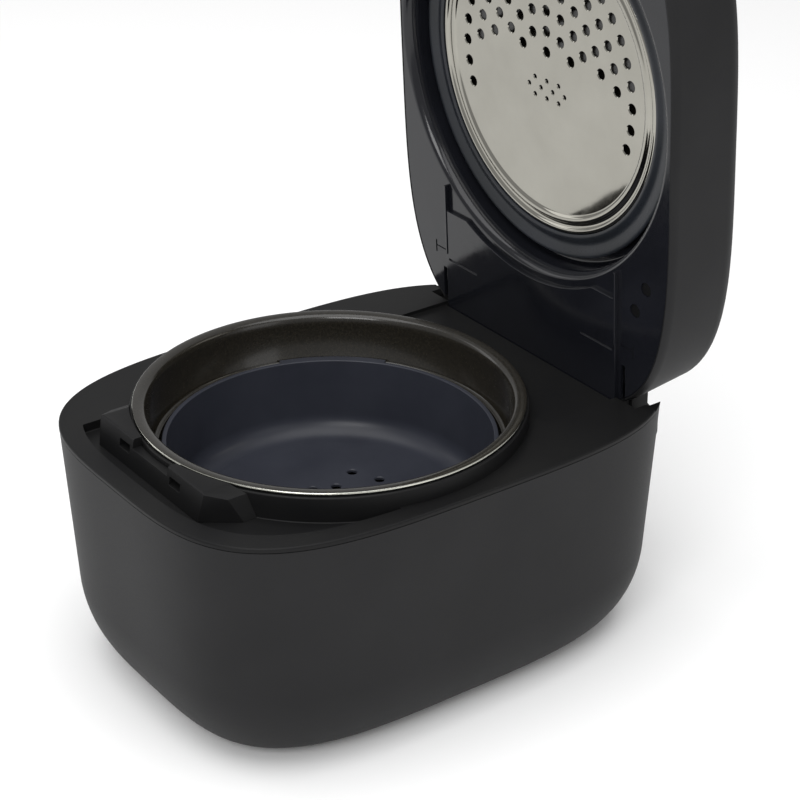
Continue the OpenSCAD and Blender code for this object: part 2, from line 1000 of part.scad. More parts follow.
module hinge_springs() {
    spring_len = 20;
    color(steel)
        on_open_lid()
            for (x = [-70, 70 - spring_len])
                translate([x, hinge_back, hinge_z])
                    rotate([0, 90, 0])
                        coil(radius = 6.6, wire = 1.8, height = spring_len, turns = 5);
}

module lid_heater_plate() {
    color(aluminium)
        on_open_lid()
            difference() {
                translate([0, 0, pocket_z + 2])
                    cylinder(h = 1.2, r = pocket_hole_r + 6);
                translate([0, steam_y, pocket_z])
                    cylinder(h = 10, r = steam_tube_r + 0.3);
            }
}

module lid_insulation() {
    color(cream)
        on_open_lid()
            difference() {
                translate([0, 0, pocket_z + 3.3])
                    cylinder(h = 4, r = pocket_hole_r - 4);
                translate([0, steam_y, pocket_z])
                    cylinder(h = 20, r = steam_tube_r + 0.5);
            }
}

module steam_tube() {
    color(gloss_black)
        on_open_lid()
            translate([0, steam_y, pocket_z - 1])
                difference() {
                    cylinder(h = steam_cup_z - pocket_z + 1, r = steam_tube_r);
                    translate([0, 0, -1])
                        cylinder(h = 40, r = steam_tube_r - 2);
                }
}

module steam_cup() {
    color(deck_black)
        on_open_lid()
            translate([0, steam_y, steam_cup_z])
                difference() {
                    cylinder(h = lid_top - steam_cup_z, r = steam_cup_r + 1.7);
                    translate([0, 0, 2])
                        cylinder(h = 60, r = steam_cup_r);
                    translate([0, 0, -1])
                        cylinder(h = 10, r = steam_tube_r - 2);
                }
}

module steam_cap() {
    cap_low = steam_cup_z + 6;
    color(gloss_black)
        on_open_lid()
            translate([0, steam_y, 0])
                difference() {
                    union() {
                        translate([0, 0, lid_top - 4])
                            cylinder(h = 4, r = steam_cup_r - 0.5);
                        translate([0, 0, cap_low])
                            cylinder(h = lid_top - cap_low - 1, r = steam_cup_r - 3);
                    }
                    translate([0, 0, cap_low - 1])
                        cylinder(h = lid_top - cap_low - 2, r = steam_cup_r - 5);
                    for (x = [-8, 0, 8])
                        translate([x, 0, lid_top - 10])
                            rotate(90)
                                pill(24, steam_slot_half, 20);
                }
}

module steam_cap_seal() {
    color(dark_rubber)
        on_open_lid()
            translate([0, steam_y, steam_cup_z + 3])
                difference() {
                    cylinder(h = 3, r = steam_cup_r - 1.5);
                    translate([0, 0, -1])
                        cylinder(h = 6, r = steam_cup_r - 5);
                }
}

// Places its children at each hole of the rice side of the steel plate
module ring_holes() {
    for (k = [1 : len(ring_start)])
        for (a = [ring_start[k - 1] : 60 / k : 180.1 - ring_start[k - 1]])
            rotate(-a)
                translate([k * ring_pitch, 0, 0])
                    children();
}

module vent_holes() {
    for (row = [-1, 0, 1])
        for (i = [0 : (row == 0 ? 3 : 2)])
            translate([(i - (row == 0 ? 1.5 : 1)) * vent_pitch, vent_back + row * vent_row, 0])
                children();
}

module inner_lid_plate() {
    color(steel_bright)
        on_open_lid()
            difference() {
                rotate_extrude()
                    polygon([
                        [0, steel_z], [91.5, steel_z], [93, steel_z - 1.2], [96.5, steel_z - 1.5],
                        [98, steel_z - 0.6], [100, steel_z - 0.8], [101.4, steel_z - 1.9],
                        [103, steel_z - 1.9], [steel_r, steel_z - 1], [steel_r, steel_z + 2],
                        [102, steel_z + 2], [100.5, steel_z + steel_t], [0, steel_z + steel_t]
                    ]);
                translate([0, 0, steel_z - 5])
                    ring_holes()
                        cylinder(h = 20, d = ring_hole_d, $fn = 32);
                translate([0, 0, steel_z - 5])
                    vent_holes()
                        cylinder(h = 20, d = vent_hole_d, $fn = 24);
            }
}

module inner_lid_gasket() {
    color(slate)
        on_open_lid()
            rotate_extrude()
                polygon([
                    [steel_r + 0.1, gasket_z + 0.8], [106.5, gasket_z + 0.4], [110, gasket_z + 1.4],
                    [115, gasket_z + 0.6], [gasket_r - 0.8, gasket_z], [gasket_r, gasket_z + 0.4],
                    [gasket_r, gasket_z + 1.6], [116, gasket_z + 2.6], [113, gasket_z + 5.4],
                    [steel_r + 0.1, gasket_z + 5.4]
                ]);
}

module control_fascia() {
    edge_gap = 0.3;
    color(gloss_black)
        on_open_lid()
            difference() {
                translate([-fascia_half + edge_gap, fascia_front + edge_gap, lid_top - fascia_t])
                    cube([
                        2 * (fascia_half - edge_gap), fascia_back - fascia_front - 2 * edge_gap, fascia_t
                    ]);
                translate([-window_w / 2, window_y - window_d / 2, lid_top - 10])
                    cube([window_w, window_d, 20]);
                for (at = button_places)
                    translate([at[0], at[1], lid_top - 10])
                        cylinder(h = 20, d = button_d + 2 * button_gap);
            }
}

module display_window() {
    color([0.1, 0.12, 0.14, 0.7])
        on_open_lid()
            translate([-window_w / 2 + 0.2, window_y - window_d / 2 + 0.2, lid_top - fascia_t])
                cube([window_w - 0.4, window_d - 0.4, fascia_t - 0.4]);
}

module display_module() {
    color([0.55, 0.6, 0.55])
        on_open_lid()
            translate([-window_w / 2 + 3, window_y - window_d / 2 + 2, board_top])
                cube([window_w - 6, window_d - 4, lid_top - fascia_t - 0.2 - board_top]);
}

module control_board() {
    color(board_green)
        on_open_lid() {
            translate([-fascia_half + 3, fascia_front + 3, board_top - board_t])
                cube([2 * fascia_half - 6, fascia_back - fascia_front - 6, board_t]);
            for (at = button_places)
                translate([at[0], at[1], board_top - 0.1])
                    cylinder(h = 1.5, r = 3, $fn = 32);
        }
}

module round_button(at) {
    edge = 0.6;
    color(gloss_black)
        on_open_lid()
            translate([at[0], at[1], lid_top + button_proud - button_h])
                union() {
                    cylinder(h = button_h - edge, d = button_d);
                    translate([0, 0, button_h - edge])
                        cylinder(h = edge, d1 = button_d, d2 = button_d - 2 * edge);
                }
}

module button_menu() round_button(button_places[0]);
module button_hour() round_button(button_places[1]);
module button_minute() round_button(button_places[2]);
module button_warm() round_button(button_places[3]);
module button_timer() round_button(button_places[4]);
module button_start() round_button(button_places[5]);

module release_button() {
    ramp = bar_back + bar_z + bar_h / 2 + 0.4;
    stem_front = bar_back - 1.2;
    stem_back = bar_back + 4;
    color(gloss_black)
        on_open_lid()
            union() {
                translate([0, release_y, lid_top - 4])
                    pill(release_w, release_d, 4.5);
                along_x(5)
                    polygon([
                        [stem_back, ramp - stem_back], [stem_back, lid_top - 3],
                        [stem_front, lid_top - 3], [stem_front, ramp - stem_front]
                    ]);
            }
}

module latch_bar() {
    color(steel)
        on_open_lid()
            union() {
                along_x(bar_half)
                    polygon([
                        [bar_back, bar_z], [bar_back, bar_z + bar_h / 2],
                        [bar_back - bar_h / 2, bar_z + bar_h], [bar_back - bar_d, bar_z + bar_h],
                        [bar_back - bar_d, bar_z]
                    ]);
                for (side = [-1, 1])
                    translate([side * hook_x, 0, 0])
                        along_x(hook_w / 2)
                            polygon([
                                [hook_face, bar_z + 1], [hook_face - hook_t, bar_z + 1],
                                [hook_face - hook_t, hook_bottom], [hook_face - 1, hook_bottom],
                                [hook_tip, hook_bottom + 2], [hook_tip, hook_bottom + hook_h],
                                [hook_face, hook_bottom + hook_h]
                            ]);
            }
}

module latch_guides() {
    color(deck_black)
        on_open_lid()
            for (x = [-40, 36])
                translate([x, bar_back - bar_d - release_travel, skirt_z + frame_t])
                    cube([4, bar_d + release_travel, bar_z - skirt_z - frame_t - 0.4]);
}

module latch_spring() {
    color(steel)
        on_open_lid()
            translate([0, bar_back - bar_d - 0.1, bar_z + bar_h / 2])
                rotate([90, 0, 0])
                    coil(radius = 3.4, wire = 0.9, height = 6.4, turns = 3);
}

module lid_screws() {
    color(steel)
        on_open_lid()
            for (a = [45 : 90 : 315])
                rotate(a)
                    translate([lid_screw_r, 0, pocket_z - 1.4])
                        union() {
                            cylinder(h = 1.4, r = 3.4);
                            cylinder(h = 12, r = 1.5);
                        }
}

outer_casing();
top_deck();
latch_catch();
hinge_well();
bottom_cover();
feet();
cover_screws();
inner_can();
band_heater();
heating_plate();
heater_terminals();
sensor_guide();
sensor_cap();
sensor_spring();
power_board();
board_posts();
power_transformer();
power_relay();
power_capacitors();
inlet_socket();
inlet_pins();
hinge_brackets();
hinge_pin();
inner_pot();
steam_basket();
lid_shell();
lid_inner_frame();
hinge_panel();
frame_plugs();
hinge_barrel_left();
hinge_barrel_right();
hinge_springs();
lid_heater_plate();
lid_insulation();
steam_tube();
steam_cup();
steam_cap();
steam_cap_seal();
inner_lid_plate();
inner_lid_gasket();
control_fascia();
display_window();
display_module();
control_board();
button_menu();
button_timer();
button_warm();
button_start();
button_hour();
button_minute();
release_button();
latch_bar();
latch_guides();
latch_spring();
lid_screws();
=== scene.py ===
import json
import math
import bmesh
import bpy
from mathutils import Matrix, Vector


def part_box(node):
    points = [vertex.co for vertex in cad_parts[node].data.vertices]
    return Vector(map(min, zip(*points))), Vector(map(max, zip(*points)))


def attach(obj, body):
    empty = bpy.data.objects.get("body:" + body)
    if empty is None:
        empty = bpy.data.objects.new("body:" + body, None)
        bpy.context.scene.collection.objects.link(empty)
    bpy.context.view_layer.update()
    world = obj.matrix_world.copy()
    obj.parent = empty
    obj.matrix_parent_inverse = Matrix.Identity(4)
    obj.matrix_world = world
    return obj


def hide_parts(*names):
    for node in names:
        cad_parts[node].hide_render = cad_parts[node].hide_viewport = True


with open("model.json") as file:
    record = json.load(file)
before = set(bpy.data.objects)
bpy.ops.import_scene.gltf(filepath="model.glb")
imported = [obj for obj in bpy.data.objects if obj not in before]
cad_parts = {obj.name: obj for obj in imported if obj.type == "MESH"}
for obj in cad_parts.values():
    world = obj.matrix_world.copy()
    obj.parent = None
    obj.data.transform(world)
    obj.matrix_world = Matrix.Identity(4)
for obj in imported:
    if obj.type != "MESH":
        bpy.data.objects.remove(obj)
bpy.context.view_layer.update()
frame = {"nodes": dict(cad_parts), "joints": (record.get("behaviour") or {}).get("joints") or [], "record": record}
nodes = frame["nodes"]
print("frame loaded:", len(nodes), "nodes")

# The cooker is modelled about its pot axis in millimetres, with the lid closed,
# and each finished piece is then put in its place on the body or on the open lid.
potLow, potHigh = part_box("inner_pot")
potAxis = (potLow.y + potHigh.y) / 2
hinge = next(joint for joint in frame["joints"] if joint["name"] == "lid_hinge")
hingePlace = Vector(hinge["pos_m"])
lidTurn = math.radians(min(hinge["range_deg"]))
rimHeight = potHigh.z * 1000  # mm
hingeBack = (hingePlace.y - potAxis) * 1000
hingeHeight = hingePlace.z * 1000


def deselectAll():
    bpy.ops.object.select_all(action="DESELECT")


def workOn(piece):
    deselectAll()
    piece.select_set(True)
    bpy.context.view_layer.objects.active = piece


def editing(piece, mode="FACE"):
    workOn(piece)
    bpy.ops.object.mode_set(mode="EDIT")
    bpy.ops.mesh.select_mode(type=mode)


def doneEditing():
    bpy.ops.object.mode_set(mode="OBJECT")


def pickFaces(piece, test):
    # test gets the face's centre in mm and its normal
    bpy.ops.mesh.select_all(action="DESELECT")
    shape = bmesh.from_edit_mesh(piece.data)
    for face in shape.faces:
        face.select_set(bool(test(face.calc_center_median() * 1000, face.normal)))
    shape.select_flush_mode()
    bmesh.update_edit_mesh(piece.data)


def startPoint(name, x, y, z):
    deselectAll()
    bpy.ops.mesh.primitive_plane_add(size=0.001, location=(x / 1000, y / 1000, z / 1000))
    piece = bpy.context.object
    piece.name = name
    bpy.ops.object.transform_apply(location=True, rotation=True, scale=True)
    bpy.ops.object.mode_set(mode="EDIT")
    bpy.ops.mesh.select_mode(type="VERT")
    bpy.ops.mesh.select_all(action="SELECT")
    bpy.ops.mesh.merge(type="CENTER")
    return piece


def drawOn(step):
    move = {"value": tuple(v / 1000 for v in step)}
    bpy.ops.mesh.extrude_region_move(TRANSFORM_OT_translate=move)


def spunShape(name, profile, steps=160, sweep=360.0, turn=0.0):
    # profile is a list of (radius, height) in mm; a full turn closes on itself
    piece = startPoint(name, profile[0][0], 0, profile[0][1])
    for (r0, z0), (r1, z1) in zip(profile, profile[1:]):
        drawOn((r1 - r0, 0, z1 - z0))
    bpy.ops.mesh.select_all(action="SELECT")
    if sweep < 360:
        bpy.ops.mesh.edge_face_add()
        bpy.ops.mesh.select_all(action="SELECT")
    bpy.ops.mesh.spin(steps=steps, angle=math.radians(sweep), center=(0, 0, 0), axis=(0, 0, 1),
                      use_auto_merge=sweep >= 360)
    bpy.ops.mesh.select_all(action="SELECT")
    bpy.ops.mesh.remove_doubles(threshold=0.000002)
    bpy.ops.mesh.normals_make_consistent(inside=False)
    doneEditing()
    if turn:
        piece.rotation_euler.z = math.radians(turn)
        bpy.ops.object.transform_apply(location=False, rotation=True, scale=False)
    return piece


def prism(name, corners, low, high):
    # an upright block on a drawn outline of (x, y) corners
    piece = startPoint(name, corners[0][0], corners[0][1], low)
    for (x0, y0), (x1, y1) in zip(corners, corners[1:]):
        drawOn((x1 - x0, y1 - y0, 0))
    bpy.ops.mesh.select_all(action="SELECT")
    bpy.ops.mesh.edge_face_add()
    drawOn((0, 0, high - low))
    bpy.ops.mesh.select_all(action="SELECT")
    bpy.ops.mesh.normals_make_consistent(inside=False)
    doneEditing()
    return piece


def block(name, low, high):
    # low and high corners in mm
    return prism(name, [(low[0], low[1]), (high[0], low[1]), (high[0], high[1]), (low[0], high[1])],
                 low[2], high[2])


def pill(name, x, y, width, depth, low, high, steps=20):
    # a block with round ends
    reach = (width - depth) / 2
    corners = []
    for side in (1, -1):
        for i in range(steps + 1):
            a = math.radians(-90 + 180 * i / steps)
            corners.append((x + side * (reach + depth / 2 * math.cos(a)), y + side * depth / 2 * math.sin(a)))
    return prism(name, corners, low, high)


def rod(name, radius, low, high, x=0.0, y=0.0, sides=48):
    deselectAll()
    bpy.ops.mesh.primitive_cylinder_add(vertices=sides, radius=radius / 1000, depth=(high - low) / 1000,
                                        location=(x / 1000, y / 1000, (low + high) / 2000))
    piece = bpy.context.object
    piece.name = name
    bpy.ops.object.transform_apply(location=True, rotation=True, scale=True)
    return piece


bodyOutline = {
    "width": 268.88,
    "depth": 358.46,
    "front": 154.23,      # from the pot axis to the front
    "power": 3.616,       # the superellipse's power
    "cornerSteps": 56,
}
outlineMiddle = bodyOutline["depth"] / 2 - bodyOutline["front"]


def outlineStack(name, levels):
    # a closed loft of the body's outline; each level is (inset, height) in mm
    values = bodyOutline
    deselectAll()
    bpy.ops.mesh.primitive_plane_add(size=1, location=(0, outlineMiddle / 1000, levels[0][1] / 1000))
    piece = bpy.context.object
    piece.name = name
    bpy.ops.object.transform_apply(location=True, rotation=True, scale=True)
    bpy.ops.object.mode_set(mode="EDIT")
    bpy.ops.mesh.select_all(action="SELECT")
    pivot = (0, outlineMiddle / 1000, levels[0][1] / 1000)
    inset = levels[0][0]
    bpy.ops.transform.resize(value=((values["width"] - 2 * inset) / 1000,
                                    (values["depth"] - 2 * inset) / 1000, 1),
                             center_override=pivot)
    bpy.ops.mesh.bevel(affect="VERTICES", offset_type="PERCENT", offset_pct=50,
                       segments=values["cornerSteps"],
                       profile=2 ** (-2 / values["power"]), clamp_overlap=False)
    bpy.ops.mesh.select_all(action="SELECT")
    bpy.ops.mesh.remove_doubles(threshold=0.000005)
    bpy.ops.mesh.select_all(action="SELECT")
    for (i0, z0), (i1, z1) in zip(levels, levels[1:]):
        drawOn((0, 0, z1 - z0))
        scale = ((values["width"] / 2 - i1) / (values["width"] / 2 - i0),
                 (values["depth"] / 2 - i1) / (values["depth"] / 2 - i0), 1)
        bpy.ops.transform.resize(value=scale, center_override=(0, outlineMiddle / 1000, z1 / 1000))
    bpy.ops.mesh.select_all(action="SELECT")
    bpy.ops.mesh.normals_make_consistent(inside=False)
    doneEditing()
    return piece


def combine(piece, tool, how="DIFFERENCE"):
    workOn(piece)
    cut = piece.modifiers.new("combine", "BOOLEAN")
    cut.operation = how
    cut.object = tool
    cut.solver = "MANIFOLD"
    bpy.ops.object.modifier_apply(modifier=cut.name)
    bpy.data.objects.remove(tool)
    return piece


def softEdges(piece, width, segments=3, sharper=32.0, smooth=40.0):
    # rounds every edge sharper than an angle, as a mould does
    workOn(piece)
    edge = piece.modifiers.new("edge", "BEVEL")
    edge.width = width / 1000
    edge.segments = segments
    edge.limit_method = "ANGLE"
    edge.angle_limit = math.radians(sharper)
    edge.use_clamp_overlap = True
    edge.miter_outer = "MITER_ARC"
    bpy.ops.object.modifier_apply(modifier=edge.name)
    bpy.ops.object.shade_smooth_by_angle(angle=math.radians(smooth))
    return piece


def evenShading(piece):
    # flat faces keep flat shading next to their rounded edges
    workOn(piece)
    even = piece.modifiers.new("even", "WEIGHTED_NORMAL")
    even.keep_sharp = True
    even.weight = 80
    bpy.ops.object.modifier_apply(modifier=even.name)
    return piece


def mergedCopy(node, name):
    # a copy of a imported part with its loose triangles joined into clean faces
    deselectAll()
    source = nodes[node]
    piece = source.copy()
    piece.data = source.data.copy()
    piece.parent = None
    for key in list(piece.keys()):
        del piece[key]
    piece.name = name
    bpy.context.scene.collection.objects.link(piece)
    piece.matrix_world = Matrix.Identity(4)
    workOn(piece)
    bpy.ops.mesh.customdata_custom_splitnormals_clear()
    editing(piece, "VERT")
    bpy.ops.mesh.select_all(action="SELECT")
    bpy.ops.mesh.remove_doubles(threshold=0.00001)
    bpy.ops.mesh.select_all(action="SELECT")
    bpy.ops.mesh.dissolve_limited(angle_limit=math.radians(0.4))
    doneEditing()
    return piece


def onBase(piece):
    workOn(piece)
    piece.location.y = potAxis
    bpy.ops.object.transform_apply(location=True, rotation=True, scale=True)
    return piece


def onLid(piece):
    # from closed, about the pot axis, to open on its hinge
    workOn(piece)
    turned = Matrix.Rotation(lidTurn, 3, "X")
    closed = Vector((0, hingeBack / 1000, hingeHeight / 1000))
    piece.rotation_euler = (lidTurn, 0, 0)
    piece.location = hingePlace - turned @ closed
    bpy.ops.object.transform_apply(location=True, rotation=True, scale=True)
    return piece


def handOver(piece, body, replaced, finish):
    if finish is not None:
        piece.data.materials.clear()
        piece.data.materials.append(finish)
    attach(piece, body)
    for node in replaced:
        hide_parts(node)
    return piece


def linear(hexColour):
    # sRGB hex to linear
    parts = [int(hexColour[i:i + 2], 16) / 255 for i in (1, 3, 5)]
    return tuple(v / 12.92 if v <= 0.04045 else ((v + 0.055) / 1.055) ** 2.4 for v in parts) + (1.0,)


def addNode(material, kind, settings=None, links=None):
    # settings name either a socket or a property of the node
    node = material.node_tree.nodes.new(kind)
    for name, value in (settings or {}).items():
        if isinstance(name, int) or name in node.inputs:
            node.inputs[name].default_value = value
        else:
            setattr(node, name, value)
    for name, source in (links or {}).items():
        material.node_tree.links.new(source, node.inputs[name])
    return node


def newMaterial(name, sockets):
    material = bpy.data.materials.new(name)
    material.use_nodes = True
    shader = material.node_tree.nodes["Principled BSDF"]
    for socket, value in sockets.items():
        shader.inputs[socket].default_value = value
    return material, shader


def perMetre(sizeMm):
    # noise scale for a feature size in mm, on object coordinates in metres
    return 1000.0 / sizeMm


def mouldedPlastic(name, values):
    # cloudy tone and gloss from the mould's flow, and the fine grain of its textured surface
    material, shader = newMaterial(name, {"IOR": values["ior"], "Metallic": 0.0,
                                          "Coat Weight": values.get("coat", 0.0),
                                          "Coat Roughness": values.get("coatRoughness", 0.1),
                                          "Specular IOR Level": values.get("specular", 0.5)})
    place = addNode(material, "ShaderNodeTexCoord")
    cloud = addNode(material, "ShaderNodeTexNoise", {"Scale": perMetre(values["cloudMm"]), "Detail": 3.0,
                                                     "Roughness": 0.55}, {"Vector": place.outputs["Object"]})
    tone = addNode(material, "ShaderNodeValToRGB", {}, {"Fac": cloud.outputs["Fac"]})
    tone.color_ramp.elements[0].position = 0.35
    tone.color_ramp.elements[0].color = linear(values["dark"])
    tone.color_ramp.elements[1].position = 0.68
    tone.color_ramp.elements[1].color = linear(values["light"])
    grain = addNode(material, "ShaderNodeTexNoise", {"Scale": perMetre(values["grainMm"]), "Detail": 2.0,
                                                     "Roughness": 0.6}, {"Vector": place.outputs["Object"]})
    gloss = addNode(material, "ShaderNodeMapRange", {"From Min": 0.3, "From Max": 0.7,
                                                     "To Min": values["smooth"], "To Max": values["rough"]},
                    {"Value": grain.outputs["Fac"]})
    bump = addNode(material, "ShaderNodeBump",
                   {"Strength": values["bump"], "Distance": values["grainMm"] / 9000},
                   {"Height": grain.outputs["Fac"]})
    links = material.node_tree.links
    links.new(tone.outputs["Color"], shader.inputs["Base Color"])
    links.new(gloss.outputs["Result"], shader.inputs["Roughness"])
    links.new(bump.outputs["Normal"], shader.inputs["Normal"])
    return material


def workedMetal(name, values):
    # rolled or turned metal: long fine lines in tone and gloss along one direction
    material, shader = newMaterial(name, {"Metallic": 1.0})
    place = addNode(material, "ShaderNodeTexCoord")
    stretched = addNode(material, "ShaderNodeMapping", {"Scale": values["stretch"]},
                        {"Vector": place.outputs["Object"]})
    lines = addNode(material, "ShaderNodeTexNoise",
                    {"Scale": perMetre(values["lineMm"]), "Detail": 4.0, "Roughness": 0.6},
                    {"Vector": stretched.outputs["Vector"]})
    tone = addNode(material, "ShaderNodeValToRGB", {}, {"Fac": lines.outputs["Fac"]})
    tone.color_ramp.elements[0].position = 0.3
    tone.color_ramp.elements[0].color = linear(values["dark"])
    tone.color_ramp.elements[1].position = 0.7
    tone.color_ramp.elements[1].color = linear(values["light"])
    gloss = addNode(material, "ShaderNodeMapRange", {"From Min": 0.3, "From Max": 0.7,
                                                     "To Min": values["smooth"], "To Max": values["rough"]},
                    {"Value": lines.outputs["Fac"]})
    bump = addNode(material, "ShaderNodeBump",
                   {"Strength": values["bump"], "Distance": values["lineMm"] / 20000},
                   {"Height": lines.outputs["Fac"]})
    links = material.node_tree.links
    links.new(tone.outputs["Color"], shader.inputs["Base Color"])
    links.new(gloss.outputs["Result"], shader.inputs["Roughness"])
    links.new(bump.outputs["Normal"], shader.inputs["Normal"])
    return material


# Moulded ABS with a fine spark-eroded texture: even charcoal, a broad satin sheen and no sharp reflection.
# The real grain is 0.15 mm; drawn at 0.5 mm so that it shows.
charcoalAbs = mouldedPlastic("ABS_moulded_charcoal_satin", {
    "dark": "#1a1a1b", "light": "#1e1e1f", "smooth": 0.50, "rough": 0.60, "ior": 1.53, "specular": 0.16,
    "grainMm": 0.5, "cloudMm": 70, "bump": 0.10})

# Moulded ABS, finer texture and darker than the casing.
deckAbs = mouldedPlastic("ABS_moulded_black_satin", {
    "dark": "#131314", "light": "#171717", "smooth": 0.40, "rough": 0.52, "ior": 1.53, "specular": 0.13,
    "grainMm": 0.45, "cloudMm": 60, "bump": 0.08})

# Polished-mould ABS, blue-black: clear narrow reflections with slight flow waves.
glossAbs = mouldedPlastic("ABS_polished_blue_black", {
    "dark": "#15161a", "light": "#191a1f", "smooth": 0.10, "rough": 0.18, "ior": 1.54, "specular": 0.34,
    "grainMm": 6.0, "cloudMm": 50, "bump": 0.04})

# Compression-moulded silicone: slate, soft broad sheen.
slateSilicone = mouldedPlastic("silicone_moulded_slate", {
    "dark": "#1c1f23", "light": "#21242a", "smooth": 0.26, "rough": 0.38, "ior": 1.43, "specular": 0.34,
    "grainMm": 0.8, "cloudMm": 40, "bump": 0.05})

# Moulded polypropylene basket: slate with a waxy satin sheen.
slatePolypropylene = mouldedPlastic("polypropylene_moulded_slate", {
    "dark": "#2c2e36", "light": "#32343c", "smooth": 0.30, "rough": 0.40, "ior": 1.49, "specular": 0.28,
    "grainMm": 0.7, "cloudMm": 45, "bump": 0.06})

# Sprayed fluoropolymer coating baked on aluminium: brown-black gloss with fine mineral flecks. On the lid heater
# plate this dark coating is painted shade behind the steel lid's holes.
potCoating = mouldedPlastic("fluoropolymer_coating_brown_black", {
    "dark": "#1a1814", "light": "#25221c", "smooth": 0.16, "rough": 0.28, "ior": 1.38,
    "grainMm": 1.0, "cloudMm": 1.6, "bump": 0.05, "coat": 0.35, "coatRoughness": 0.12})

# Turned aluminium edge left bare on the pot's rim: bright, with fine turning lines.
turnedAluminium = workedMetal("aluminium_turned_edge", {
    "dark": "#bcbcb2", "light": "#dcdcd2", "smooth": 0.16, "rough": 0.26, "lineMm": 2.0,
    "stretch": (1.0, 1.0, 8.0), "bump": 0.05})

# Bright-annealed stainless steel: a warm mirror with a faint waviness from pressing.
mirrorSteel = workedMetal("stainless_bright_annealed", {
    "dark": "#95938b", "light": "#9d9b93", "smooth": 0.05, "rough": 0.09, "lineMm": 45.0,
    "stretch": (1.0, 1.0, 1.0), "bump": 0.02})

# Cold-rolled stainless sheet (2B): grey with long rolling lines.
rolledSteel = workedMetal("stainless_cold_rolled", {
    "dark": "#8f8f8d", "light": "#b3b3b0", "smooth": 0.22, "rough": 0.38, "lineMm": 1.2,
    "stretch": (0.06, 1.0, 1.0), "bump": 0.08})

# Die-cast aluminium with a fine-turned face: matt light grey.
castAluminium = workedMetal("aluminium_die_cast", {
    "dark": "#94959a", "light": "#b2b3b6", "smooth": 0.35, "rough": 0.5, "lineMm": 1.5,
    "stretch": (1.0, 1.0, 1.0), "bump": 0.15})

# Spring brass: yellow, drawn lines.
drawnBrass = workedMetal("brass_drawn", {
    "dark": "#a88a45", "light": "#c9ab63", "smooth": 0.2, "rough": 0.35, "lineMm": 0.8,
    "stretch": (1.0, 0.1, 1.0), "bump": 0.05})

# EPDM rubber: black, dull.
blackRubber = mouldedPlastic("EPDM_moulded_black", {
    "dark": "#0a0a0b", "light": "#0e0e0f", "smooth": 0.6, "rough": 0.75, "ior": 1.5, "specular": 0.12,
    "grainMm": 0.6, "cloudMm": 20, "bump": 0.15})

# FR-4 laminate under green solder mask: glass weave of 0.6 mm just shows.
circuitBoard = mouldedPlastic("FR4_solder_mask_green", {
    "dark": "#11402a", "light": "#185237", "smooth": 0.25, "rough": 0.4, "ior": 1.55,
    "grainMm": 0.6, "cloudMm": 6, "bump": 0.08})

# Relay case in PBT: pale grey satin.
palePbt = mouldedPlastic("PBT_moulded_pale_grey", {
    "dark": "#c9cac8", "light": "#dcdcda", "smooth": 0.35, "rough": 0.5, "ior": 1.55,
    "grainMm": 0.5, "cloudMm": 15, "bump": 0.05})

# Shrunk PET sleeve on capacitors: glossy blue.
blueSleeve = mouldedPlastic("PET_sleeve_blue", {
    "dark": "#1c2a63", "light": "#25357a", "smooth": 0.18, "rough": 0.28, "ior": 1.57,
    "grainMm": 1.2, "cloudMm": 12, "bump": 0.05})

# Polyester tape over a winding: amber, slightly glossy.
amberTape = mouldedPlastic("polyester_tape_amber", {
    "dark": "#a98632", "light": "#c7a650", "smooth": 0.25, "rough": 0.4, "ior": 1.57,
    "grainMm": 1.0, "cloudMm": 8, "bump": 0.1})

# Ceramic-fibre felt: cream, matt and fibrous at 1.5 mm.
ceramicFelt = mouldedPlastic("ceramic_fibre_felt_cream", {
    "dark": "#c2bba6", "light": "#ddd7c6", "smooth": 0.8, "rough": 0.95, "ior": 1.5,
    "grainMm": 1.5, "cloudMm": 9, "bump": 0.5})

# Smoked acrylic window: near-black with a clear polish.
smokedAcrylic = mouldedPlastic("acrylic_smoked_polished", {
    "dark": "#0c0d10", "light": "#101216", "smooth": 0.04, "rough": 0.07, "ior": 1.49,
    "grainMm": 12.0, "cloudMm": 60, "bump": 0.01})

# Liquid-crystal cell, switched off: grey-green behind glass.
displayCell = mouldedPlastic("glass_liquid_crystal_cell", {
    "dark": "#6f786c", "light": "#7d8679", "smooth": 0.08, "rough": 0.14, "ior": 1.52,
    "grainMm": 3.0, "cloudMm": 20, "bump": 0.01})

finishes = {
    "casing": charcoalAbs, "deck": deckAbs, "gloss": glossAbs, "slate": slateSilicone,
    "basket": slatePolypropylene, "pot": potCoating, "mirror_steel": mirrorSteel, "steel": rolledSteel,
    "aluminium": castAluminium, "rubber": blackRubber, "board": circuitBoard, "part_light": palePbt,
    "part_blue": blueSleeve, "winding": amberTape, "insulation": ceramicFelt, "brass": drawnBrass,
    "glass": smokedAcrylic, "display": displayCell,
}
slotOf = {name: node.material_slots[0].material.name.split(".")[0] for name, node in nodes.items()}
bodyOf = {name: body for body, members in frame["record"]["behaviour"]["bodies"].items() for name in members}
print("materials made:", len(finishes) + 1)


casing = {
    "bottom": 2.2,
    "top": 162.6,
    "deckHeight": 166.0,
    "draft": 0.05,
    "roundWide": 32.0,
    "roundHigh": 55.0,
    "roundSteps": 22,
    "wall": 2.6,
    "skirtStep": 5.0,       # the lower edge is higher behind the front skirt
    "skirtEnd": -12.0,
    "coverInset": 52.0,
    "wellHalf": 106.6,      # the hinge well is open at the back
    "wellFront": 152.8,
    "wellFloor": 141.95,
    "inlet": (23, 57, 65, 91),   # left, right, low and high sides of the hole for the mains inlet
    "edge": 0.5,
}


def casingInset(z):
    low = max(0.0, (casing["bottom"] + casing["roundHigh"] - z) / casing["roundHigh"])
    return (casing["draft"] * (casing["deckHeight"] - z)
            + casing["roundWide"] * (1 - math.sqrt(max(0.0, 1 - low * low))))


